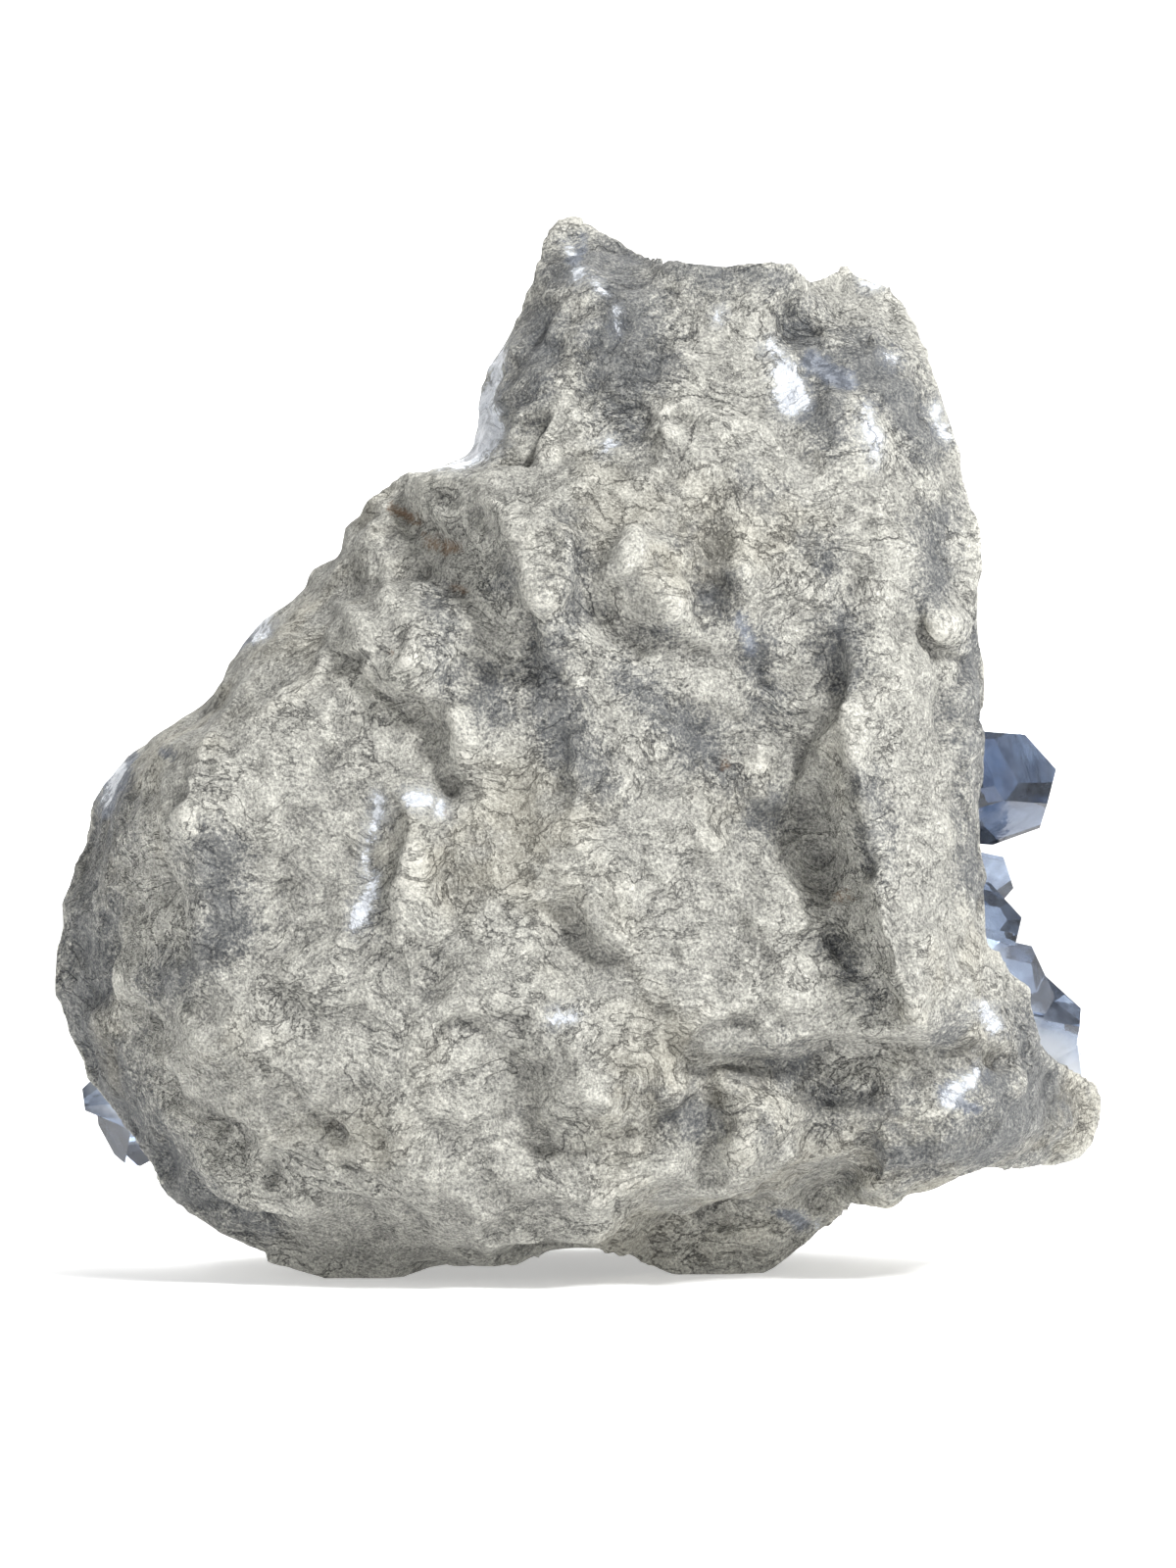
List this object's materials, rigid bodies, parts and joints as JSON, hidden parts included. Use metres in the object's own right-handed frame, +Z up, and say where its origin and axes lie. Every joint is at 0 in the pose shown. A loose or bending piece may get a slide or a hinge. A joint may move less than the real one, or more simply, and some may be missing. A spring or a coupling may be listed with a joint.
{
  "type": "celestite geode",
  "caption": "A broken geode standing upright: a rough chunk of pale marl with a hollow far side lined with grey-blue celestite crystals.",
  "frame": {"origin": "on the surface that the geode stands on, under the middle of its box", "axes": "+Z up; the rough outside of the rock faces -Y, and the crystal-lined hollow faces +Y"},
  "size_m": [0.1808, 0.1068, 0.1807],
  "materials": {
    "marl": "rough broken stone, pale cream and grey",
    "celestite": "glassy grey-blue crystal, partly see-through"
  },
  "bodies": {
    "root": {"matrix": "marl", "crystal_crust": "celestite"}
  },
  "joints": []
}
